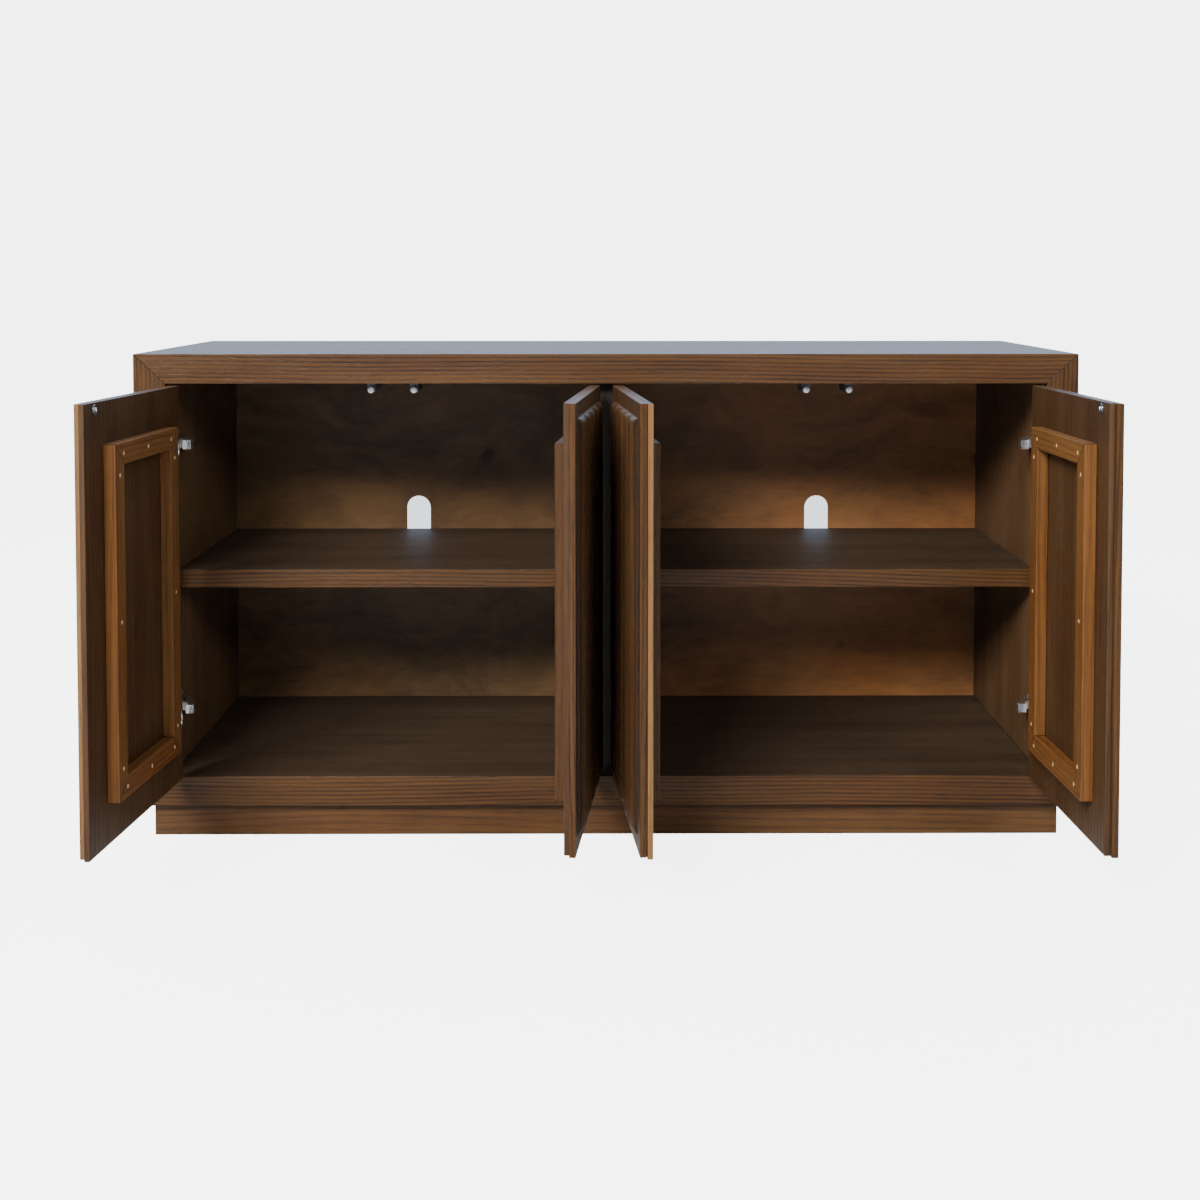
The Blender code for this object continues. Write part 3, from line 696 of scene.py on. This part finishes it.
class Door:
    """One door, read from its joint: its pivot line, its hand and how far it stands open."""

    def __init__(self, name):
        self.name = name
        self.body = name + "_door"
        joint = next(item for item in frame["joints"] if item["child"] == self.body)
        self.pivot = np.array(joint["pos_m"][:2])
        self.hand = -joint["axis"][2]
        self.angle = math.radians(-joint["range_deg"][0])

    def turn(self):
        """Columns are the shut door's across and depth directions as they lie in the open door."""
        swing = -self.hand * self.angle
        cosine, sine = math.cos(swing), math.sin(swing)
        return np.array([[self.hand * cosine, -sine], [self.hand * sine, cosine]])

    def place(self, points):
        """(across, depth, height) of the shut door to the row frame, with the door open."""
        flat = points[:, :2] @ self.turn().T + self.pivot
        return np.column_stack([flat, points[:, 2]])

    def shut_box(self, part):
        """Lowest and highest corner of one of its CAD nodes, in (across, depth, height)."""
        mesh = frame["nodes"][self.name + "_" + part].data
        points = np.array([vertex.co for vertex in mesh.vertices])
        flat = (points[:, :2] - self.pivot) @ np.linalg.inv(self.turn()).T
        shut = np.column_stack([flat, points[:, 2]])
        return shut.min(0), shut.max(0)

    def piece(self, name, form, slot, parts, finishes, order=(2, 0, 1), offset=0.0, banded=False):
        """banded gives the flat faces of the free edge the second finish."""
        nodes = [self.name + "_" + part for part in parts]
        inner = (*self.turn()[:, 0], 0.0) if banded else None
        return make_piece(self.name + "_" + name, form, self.body, nodes, finishes,
                          place=self.place, order=order, offset=offset, inner=inner)


def cup_middles(door):
    """(across, height) of the door's two hinge cups, lower first."""
    middles = []
    for which in ("lower", "upper"):
        low, high = door.shut_box("hinge_cup_" + which)
        middles.append((low[0] + CUP_FLANGE, (low[2] + high[2]) / 2))
    return middles


def cup_holes(door):
    return [round_outline(middle, CUP_RADIUS + CUP_SLACK) for middle in cup_middles(door)]


def rib_rise(across, low, high):
    """Height of the ribs over the flat border: half ellipses side by side between the borders."""
    pitch = (high - low) / RIB_COUNT
    phase = np.mod((across - low) / pitch, 1.0) * 2 - 1
    inside = (across > low) & (across < high)
    return np.where(inside, RIB_HEIGHT * np.sqrt(np.clip(1 - phase ** 2, 0, 1)), 0.0)


def build_door_front(door, offset):
    """The ribbed board: its face is a grid raised into ribs, whose ends are rounded over."""
    low, high = door.shut_box("door_front")
    face = low[1] + RIB_HEIGHT
    rib_low, rib_high = low[0] + RIB_BORDER_SIDE, high[0] - RIB_BORDER_SIDE
    line = cup_middles(door)[0][0]
    pitch = (rib_high - rib_low) / RIB_COUNT
    turn = np.linspace(0, math.pi, 25)
    ribs = [rib_low + (rib + 0.5 - 0.5 * np.cos(turn)) * pitch for rib in range(RIB_COUNT)]
    feet = [rib_low - GROOVE_SPREAD, rib_high + GROOVE_SPREAD]
    across = np.unique(np.round(np.concatenate([[low[0], line, high[0]], feet, *ribs]), 7))
    quarter = np.linspace(0, math.pi / 2, 11)
    start, end = low[2] + RIB_BORDER_END, high[2] - RIB_BORDER_END
    rounded = RIB_END_ROUND * (1 - np.cos(quarter))
    height = np.concatenate([[low[2]], start + rounded, (end - rounded)[::-1], [high[2]]])
    share = np.concatenate([[0.0], np.sin(quarter), np.sin(quarter)[::-1], [0.0]])
    rise = rib_rise(across, rib_low, rib_high)
    columns = np.clip(across, low[0] + EASE_DOOR, high[0] - EASE_DOOR)
    rows = np.clip(height, low[2] + EASE_DOOR, high[2] - EASE_DOOR)
    depth = face - share[:, None] * rise
    grid = np.stack([np.broadcast_to(columns, depth.shape), depth,
                     np.broadcast_to(rows[:, None], depth.shape)], -1)
    form = Form()
    form.grid(grid)
    # painted shade in the valleys between the ribs, from their feet up to GROOVE_SHARE of their height,
    # on the rows where the ribs stand
    rib_valley_shade = np.clip((GROOVE_SHARE - rise / RIB_HEIGHT) / GROOVE_FADE, 0, 1)
    rib_valley_shade = np.where((across > feet[0] + 1e-6) & (across < feet[1] - 1e-6), rib_valley_shade, 0.0)
    painted_valley_shade = (share > 0.5)[:, None] * rib_valley_shade
    loop = outline_of(across, height)
    skirt(form, loop, EASE_DOOR, face, high[1], ease_back=False)
    pocket = face + POCKET_DEPTH
    holes = cup_holes(door)
    pierced_faces(form, loop, holes, line, high[1])
    for hole in holes:
        form.grid(np.array([at_depth(hole, high[1]), at_depth(hole, pocket)]), wrap=True)
        form.polygon(at_depth(hole, pocket))
    form.groove = np.concatenate([painted_valley_shade.ravel(), np.zeros(len(form.points) - painted_valley_shade.size)])
    edge = "edge_band" if door.name == "left_outer" else "oak_veneer"
    door.piece("ribbed_front", form, "oak_veneer", ["door_front"], ["door_veneer", edge],
               offset=offset, banded=True)


def build_door_back(door, offset):
    low, high = door.shut_box("door_back")
    form = pierced_board(low, high, cup_holes(door), cup_middles(door)[0][0], EASE_DOOR)
    door.piece("back_board", form, "inner_panel", ["door_back"], ["door_inner", "edge_band"],
               offset=offset, banded=door.name == "right_inner")


def batten_pins(low, high):
    """(across, height) of the pins: three on each of the four battens, at its ends and its middle."""
    half = BATTEN_WIDTH / 2
    across = np.array([low[0] + PIN_INSET, (low[0] + high[0]) / 2, high[0] - PIN_INSET])
    height = np.array([low[2] + PIN_INSET + half, (low[2] + high[2]) / 2, high[2] - PIN_INSET - half])
    places = [(a, z) for a in across for z in (low[2] + half, high[2] - half)]
    return places + [(a, z) for a in (low[0] + half, high[0] - half) for z in height]


def build_battens(door, offset):
    """Four battens mitred into a frame, and the flush pins that fill their nail holes."""
    low, high = door.shut_box("door_battens")
    middle = (low + high) / 2
    half = (high - low) / 2
    for step, (axis, other, sign) in enumerate(((0, 2, -1), (0, 2, 1), (2, 0, -1), (2, 0, 1))):
        corner_low, corner_high = -half.copy(), half.copy()
        outer = sign * half[other]
        inner = sign * (half[other] - BATTEN_WIDTH)
        corner_low[other], corner_high[other] = sorted((outer, inner))
        corner_low[axis] += BATTEN_GAP
        corner_high[axis] -= BATTEN_GAP
        form = eased_box(corner_low, corner_high, EASE_BATTEN)
        mitred(form, axis, other, outer, inner, half[axis], half[axis] - BATTEN_WIDTH)
        form.points += middle
        order = (0, 2, 1) if axis == 0 else (2, 0, 1)
        name = ("batten_bottom", "batten_top", "batten_low_side", "batten_high_side")[step]
        parts = ["door_battens"] if step == 0 else []
        # the inner doors' battens take the darker copy: painted shade
        finish = "batten_wood" if door.name.endswith("outer") else "batten_shaded"
        door.piece(name, form, "batten_wood", parts, [finish], order=order, offset=offset + 0.37 * step)
    pins = Form()
    turn = np.linspace(0, math.pi / 2, 4)
    profile = [(0.0, -PIN_SINK), (PIN_RADIUS, -PIN_SINK)]
    profile += [(PIN_RADIUS * math.cos(t), PIN_RISE * math.sin(t)) for t in turn]
    for across, height in batten_pins(low, high):
        pins.join(turned(profile, (across, high[1], height), sides=16))
    door.piece("batten_pins", pins, "batten_wood", [], ["pin_filler"])


def build_strike(door):
    """Strike disc: a dished washer with a raised rim, and the screw that holds it."""
    low, high = door.shut_box("door_strike")
    middle = np.array([(low[0] + high[0]) / 2, low[1], (low[2] + high[2]) / 2])
    radius, thick = (high[0] - low[0]) / 2, high[1] - low[1]
    profile = [(0, 0), (radius, 0), (radius, thick * 0.7), (radius * 0.95, thick),
               (radius * 0.80, thick), (radius * 0.70, thick * 0.62), (0, thick * 0.62)]
    form = turned(profile, middle)
    form.join(screw_head(middle + (0, thick * 0.5, 0), radius * 0.48, 1))
    # the disc's dark colour is a painted reflection
    door.piece("strike_disc", form, "nickel", ["door_strike"], ["dark_steel", "nickel"])


# ---- hinges

def build_hinge_cup(door, which):
    """Pressed cup: a bowl with a rolled rim, ears with round ends and a screw in each, and two rivets."""
    low, high = door.shut_box("hinge_cup_" + which)
    middle = np.array([low[0] + CUP_FLANGE, 0.0, (low[2] + high[2]) / 2])
    bottom, flange = low[1], high[1]
    seat = flange - CUP_WALL
    roll = np.linspace(0, math.pi / 2, 4)
    inner = CUP_RADIUS - CUP_WALL
    profile = [(0, bottom), (CUP_RADIUS - CUP_KNEE, bottom), (CUP_RADIUS, bottom + CUP_KNEE),
               (CUP_RADIUS, seat), (CUP_FLANGE, seat)]
    rim = CUP_RIM_ROUND
    profile += [(CUP_FLANGE - rim * (1 - math.cos(t)), flange - rim * (1 - math.sin(t))) for t in roll]
    profile += [(inner + CUP_WALL * (1 - math.sin(t)), flange - CUP_WALL * (1 - math.cos(t)))
                for t in roll]
    profile += [(inner, bottom + 0.004), (inner - 0.003, bottom + CUP_WALL), (0, bottom + CUP_WALL)]
    form = turned(profile, middle, sides=48)
    end = (high[2] - low[2]) / 2 - EAR_RADIUS
    ear = middle[0] + EAR_SHIFT
    turn = np.linspace(0, math.pi, 13)
    for sign in (-1, 1):
        outline = [(ear + EAR_RADIUS * math.cos(t), middle[2] + sign * (end + EAR_RADIUS * math.sin(t)))
                   for t in turn]
        outline += [(ear - EAR_RADIUS, middle[2] + sign * CUP_RADIUS),
                    (ear + EAR_RADIUS, middle[2] + sign * CUP_RADIUS)]
        form.join(prism(outline, 1, seat, flange))
        form.join(screw_head((ear, flange, middle[2] + sign * (end - 0.001)), EAR_SCREW, 1))
    rivet = [(0, -RIVET_HALF), (RIVET_RADIUS, -RIVET_HALF), (RIVET_RADIUS, RIVET_HALF), (0, RIVET_HALF)]
    for place in RIVET_PLACES:
        form.join(turned(rivet, middle + (0, bottom, 0) + place, sides=16))
    door.piece("cup_" + which, form, "nickel", ["hinge_cup_" + which], ["nickel", "screw_steel"])


def build_hinge_arm(door, which):
    """Cranked channel arm: a prism of its plan outline with eased edges, and two adjusting screws."""
    node = door.name + "_hinge_arm_" + which
    low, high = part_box(node)
    points = np.array([vertex.co for vertex in frame["nodes"][node].data.vertices])
    plan = np.unique(np.round(points[:, :2], 6), axis=0)
    wall = -1 if door.pivot[0] < (low.x + high.x) / 2 else 1
    form = prism(plan_outline(plan, wall), 2, low.z, high.z)
    bay = -wall
    face = sorted(plan[plan[:, 1] > high.y - 1e-4][:, 0] * bay)[-1] * bay
    middle_z = (low.z + high.z) / 2
    for share, radius in ARM_SCREWS:
        y = high.y - (high.y - low.y) * ARM_REAR_SHARE * (1 - share) - ARM_TAIL_INSET
        form.join(screw_head((face, y, middle_z), radius, bay, axis="across"))
    piece = make_piece(door.name + "_arm_" + which, form, "case", [node],
                       ["nickel", "screw_steel"])
    soften(piece, EASE_ARM)


def plan_outline(plan, wall):
    """The plan's corners in order round the arm: forward along the wall side, back on the bay side."""
    near = plan[np.argsort(plan[:, 1])]
    nose = near[:2][np.argsort(-near[:2, 0] * wall)]
    tail = near[-2:][np.argsort(-near[-2:, 0] * wall)]
    middle = near[2:-2]
    wall_side = [p for p in middle if on_wall_side(p, nose, tail, wall)]
    bay_side = [p for p in middle if not on_wall_side(p, nose, tail, wall)]
    order = [tail[0]] + sorted(wall_side, key=lambda p: -p[1]) + [nose[0], nose[1]]
    return order + sorted(bay_side, key=lambda p: p[1]) + [tail[1]]


def on_wall_side(point, nose, tail, wall):
    """True when a corner lies nearer the wall than the line between the nose's and tail's middles."""
    start, end = nose.mean(0), tail.mean(0)
    share = (point[1] - start[1]) / (end[1] - start[1])
    middle = start[0] + (end[0] - start[0]) * share
    return (point[0] - middle) * wall > 0


def soften(piece, width):
    """Ease every sharp edge of a piece, before its shading is evened."""
    bevel = piece.modifiers.new("eased", "BEVEL")
    bevel.width = width
    bevel.segments = 2
    bevel.limit_method = "ANGLE"
    bevel.angle_limit = BEVEL_ANGLE
    bevel.use_clamp_overlap = True
    piece.modifiers.move(len(piece.modifiers) - 1, 0)


def build_hinge_plate(door, which):
    """Cross-shaped mounting plate with a screw in each wing."""
    node = door.name + "_hinge_plate_" + which
    low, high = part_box(node)
    middle_y, middle_z = (low.y + high.y) / 2, (low.z + high.z) / 2
    half_y, half_z = (high.y - low.y) / 2, (high.z - low.z) / 2
    bar, wing = PLATE_BAR_HALF, PLATE_WING_HALF
    half = [(half_y, -bar), (half_y, bar), (wing, bar), (wing, half_z), (-wing, half_z), (-wing, bar)]
    cross = half + [(-a, -b) for a, b in half]
    form = prism([(middle_y + a, middle_z + b) for a, b in cross], 0, low.x, high.x)
    bay = 1 if door.hand > 0 else -1
    face = high.x if bay > 0 else low.x
    for sign in (-1, 1):
        place = (face, middle_y, middle_z + sign * (half_z - PLATE_SCREW_INSET))
        form.join(screw_head(place, PLATE_SCREW, bay, axis="across"))
    piece = make_piece(door.name + "_plate_" + which, form, "case", [node],
                       ["nickel", "screw_steel"])
    soften(piece, EASE_PLATE)


# ---- touch latches

def build_latch(door):
    """Moulded housing with a bore in its front, and the sprung plunger with its domed cap."""
    node = door.name + "_latch_housing"
    low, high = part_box(node)
    x, radius = (low.x + high.x) / 2, (high.x - low.x) / 2
    axis_z = low.z + radius
    turn = np.linspace(math.pi, math.tau, 17)
    outline = [(x + radius * math.cos(t), axis_z + radius * math.sin(t)) for t in turn]
    outline += [(x + radius, high.z), (x - radius, high.z)]
    hole = round_outline((x, axis_z), LATCH_BORE)
    end = low.y + LATCH_BORE_DEPTH
    outer = np.array(outline)
    form = Form()
    form.grid(np.array([at_depth(outer, low.y), at_depth(outer, high.y)]), wrap=True)
    form.polygon(at_depth(outer, high.y))
    form.grid(np.array([at_depth(hole, low.y), at_depth(hole, end)]), wrap=True)
    form.polygon(at_depth(hole, end))
    mouth_face(form, outer, hole, x, low.y)
    piece = make_piece(door.name + "_latch_body", form, "case", [node], ["grey_plastic"])
    soften(piece, EASE_HOUSING)
    node = door.name + "_latch_plunger"
    low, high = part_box(node)
    middle = ((low.x + high.x) / 2, low.y, (low.z + high.z) / 2)
    cap = (high.x - low.x) / 2
    back, end = PLUNGER_CAP_DEPTH, high.y - low.y
    turn = np.linspace(0, math.pi / 2, 7)
    dome = [(cap * math.sin(t), PLUNGER_DOME * (1 - math.cos(t))) for t in turn]
    profile = [(0, 0.0005), (0.0016, 0.0005), (0.0019, 0.0001)] + [p for p in dome if p[0] > 0.0022]
    profile += [(cap, back - 0.0004), (cap - 0.0004, back), (PLUNGER_SHAFT, back), (PLUNGER_SHAFT, end),
                (0, end)]
    plunger = turned(profile, middle, sides=36)
    make_piece(door.name + "_plunger_pin", plunger, door.name + "_plunger", [node],
               ["screw_steel"])


def mouth_face(form, outer, hole, x, y):
    """The housing's front: two polygons between its outline and its bore, split on their middle line."""
    low_point = int(np.argmin(outer[:, 1]))
    top = np.array([[x, outer[:, 1].max()]])
    half = len(hole) // 2
    right = np.vstack([outer[low_point:-1], top, hole[:half + 1][::-1]])
    left = np.vstack([top, outer[-1:], outer[:low_point + 1], hole[:1], hole[half:][::-1]])
    form.polygon(at_depth(right, y))
    form.polygon(at_depth(left, y))


# ---- studio

def build_floor():
    """A pale floor that glows for the camera alone, so that it looks white but lights nothing."""
    finish = Finish("studio_floor")
    place = finish.node("TexCoord", None, None, output=3)
    cloud = finish.noise(place, 1.5, 3.0)
    colour = finish.mix(cloud, rgb(0.50, 0.50, 0.50), rgb(0.48, 0.48, 0.48))
    x = finish.node("SeparateXYZ", None, {0: place})
    y = finish.node("SeparateXYZ", None, {0: place}, output=1)
    slant = finish.math("ABSOLUTE", x) / (y + SHADE_APEX)
    shade = (1.0 - finish.ramp(slant, *SHADE_SLANT)) * finish.ramp(y, *SHADE_NEAR)
    shade = shade * (1.0 - finish.ramp(y, *SHADE_FAR)) * SHADE_DEPTH
    seen = finish.node("LightPath", None, None, output=0) * (1.0 - shade)
    glow = finish.mix(seen, rgb(0, 0, 0), rgb(1, 1, 1))
    finish.feed(finish.shader.inputs["Emission Color"], glow)
    material = finish.dress(colour, 0.7, constants={"Emission Strength": FLOOR_GLOW})
    reach = FLOOR_REACH
    mesh = bpy.data.meshes.new("studio_floor")
    mesh.from_pydata([(-reach, -reach, 0), (reach, -reach, 0), (reach, reach, 0), (-reach, reach, 0)],
                     [], [(0, 1, 2, 3)])
    mesh.materials.append(material)
    floor = bpy.data.objects.new("studio_floor", mesh)
    bpy.context.scene.collection.objects.link(floor)


def build_room():
    """A room that is bright behind the cabinet and dim in front of it, and plain white to the camera."""
    world = bpy.data.worlds.new("studio")
    room = Nodes(world)
    bpy.context.scene.world = world
    toward = room.node("TexCoord", None, None, output=0)
    depth = room.node("SeparateXYZ", None, {0: toward}, output=1)
    glow = room.mix(room.ramp(depth, *ROOM_TURN), rgb(*ROOM_FRONT), rgb(*ROOM_BACK))
    seen = room.node("LightPath", None, None, output=0)
    shown = room.mix(seen, glow, rgb(*ROOM_SHOWN))
    room.feed(room.tree.nodes["Background"].inputs["Color"], shown)


def build_lights():
    for name, place, target, size, power, colour in LIGHTS:
        light = bpy.data.lights.new(name, "AREA")
        light.shape = "RECTANGLE"
        light.size, light.size_y = size
        light.energy = power
        light.color = colour
        lamp = bpy.data.objects.new(name, light)
        lamp.location = place
        lamp.rotation_euler = (Vector(target) - Vector(place)).to_track_quat("-Z", "Y").to_euler()
        bpy.context.scene.collection.objects.link(lamp)


def build_camera():
    data = bpy.data.cameras.new("camera")
    data.lens = CAMERA_LENS
    data.shift_x, data.shift_y = CAMERA_SHIFT
    camera = bpy.data.objects.new("camera", data)
    camera.location = CAMERA_PLACE
    camera.rotation_euler = (math.pi / 2 - CAMERA_PITCH, 0, -CAMERA_YAW)
    bpy.context.scene.collection.objects.link(camera)
    bpy.context.scene.camera = camera


build_camera()
build_floor()
build_room()
build_lights()
build_case()
build_back_panel()
for number, door_name in enumerate(("left_outer", "left_inner", "right_inner", "right_outer")):
    each_door = Door(door_name)
    build_door_front(each_door, 12.0 + number)
    build_door_back(each_door, 16.0 + number)
    build_battens(each_door, 20.0 + 2 * number)
    build_strike(each_door)
    for level in ("upper", "lower"):
        build_hinge_cup(each_door, level)
        build_hinge_arm(each_door, level)
        build_hinge_plate(each_door, level)
    build_latch(each_door)
